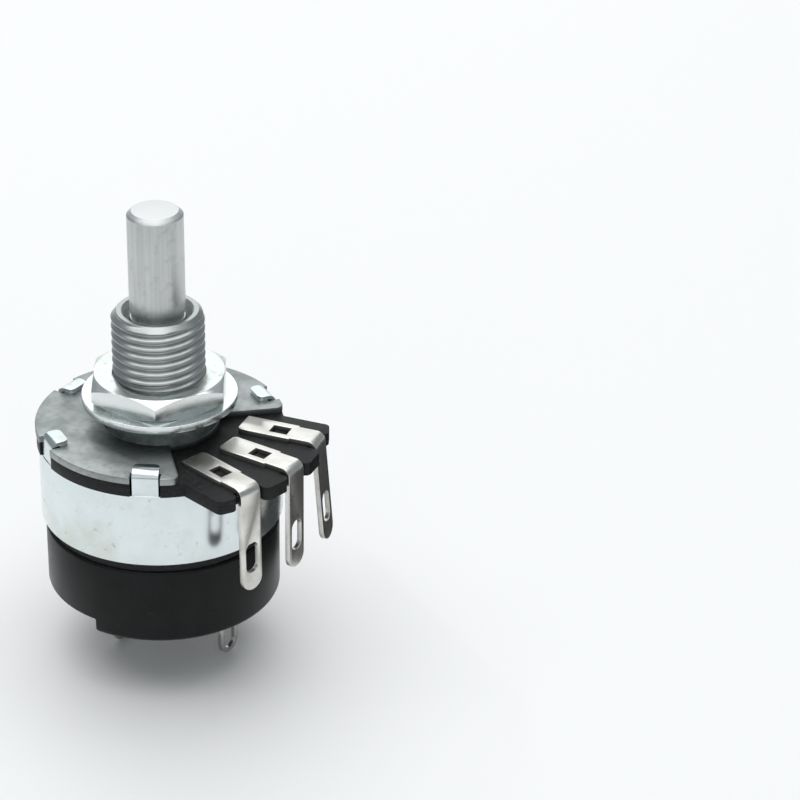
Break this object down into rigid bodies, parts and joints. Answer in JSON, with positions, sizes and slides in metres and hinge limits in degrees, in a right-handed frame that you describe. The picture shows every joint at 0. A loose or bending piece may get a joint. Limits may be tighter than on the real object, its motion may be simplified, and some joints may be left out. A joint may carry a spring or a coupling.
{
  "type": "rotary potentiometer",
  "caption": "Panel-mount rotary potentiometer with threaded bushing, hex nut, solder terminals and a rotary on/off switch behind its can",
  "frame": {"origin": "centre of the collar's front face, which seats behind the panel", "axes": "+Z along the shaft to its tip; the middle terminal points along -Y"},
  "size_m": [0.027, 0.0315, 0.0527],
  "materials": {
    "shaft_aluminium": "satin, fine drawn lines along its length",
    "spring_steel": "dark spring steel",
    "zinc_casting": "dull die-cast zinc",
    "plated_washer": "bright zinc plating",
    "plated_nut": "bright zinc plating",
    "board_laminate": "black phenolic paper board",
    "tinned_terminal": "tinned brass sheet",
    "carbon_track": "printed carbon",
    "contact_brass": "spring brass",
    "rotor_moulding": "brown phenolic moulding",
    "zinc_plated_can": "bright blue-white zinc plating",
    "cover_laminate": "black laminate",
    "black_moulding": "black phenolic moulding",
    "cam_moulding": "pale moulding",
    "tinned_lug": "tinned brass sheet",
    "rivet_brass": "tinned brass eyelet",
    "rivet_steel": "plated steel"
  },
  "bodies": {
    "housing": {"bushing_plate": "zinc_casting", "washer": "plated_washer", "hex_nut": "plated_nut", "terminal_board": "board_laminate", "terminal_left": "tinned_terminal", "terminal_middle": "tinned_terminal", "terminal_right": "tinned_terminal", "resistance_track": "carbon_track", "collector_ring": "contact_brass", "can": "zinc_plated_can", "switch_cover": "cover_laminate", "switch_housing": "black_moulding", "contact_blade": "contact_brass", "fixed_contact": "contact_brass", "switch_lug_left": "tinned_lug", "switch_lug_right": "tinned_lug", "lug_rivets": "rivet_brass", "housing_rivets": "rivet_steel"},
    "spindle": {"shaft": "shaft_aluminium", "retaining_ring": "spring_steel", "rotor": "rotor_moulding", "wiper": "contact_brass", "switch_cam": "cam_moulding"}
  },
  "joints": [
    {"name": "shaft_turn", "type": "hinge", "parent": "housing", "child": "spindle", "pos_m": [0, 0, 0], "axis": [0, 0, 1], "range_deg": [-150, 150]}
  ]
}
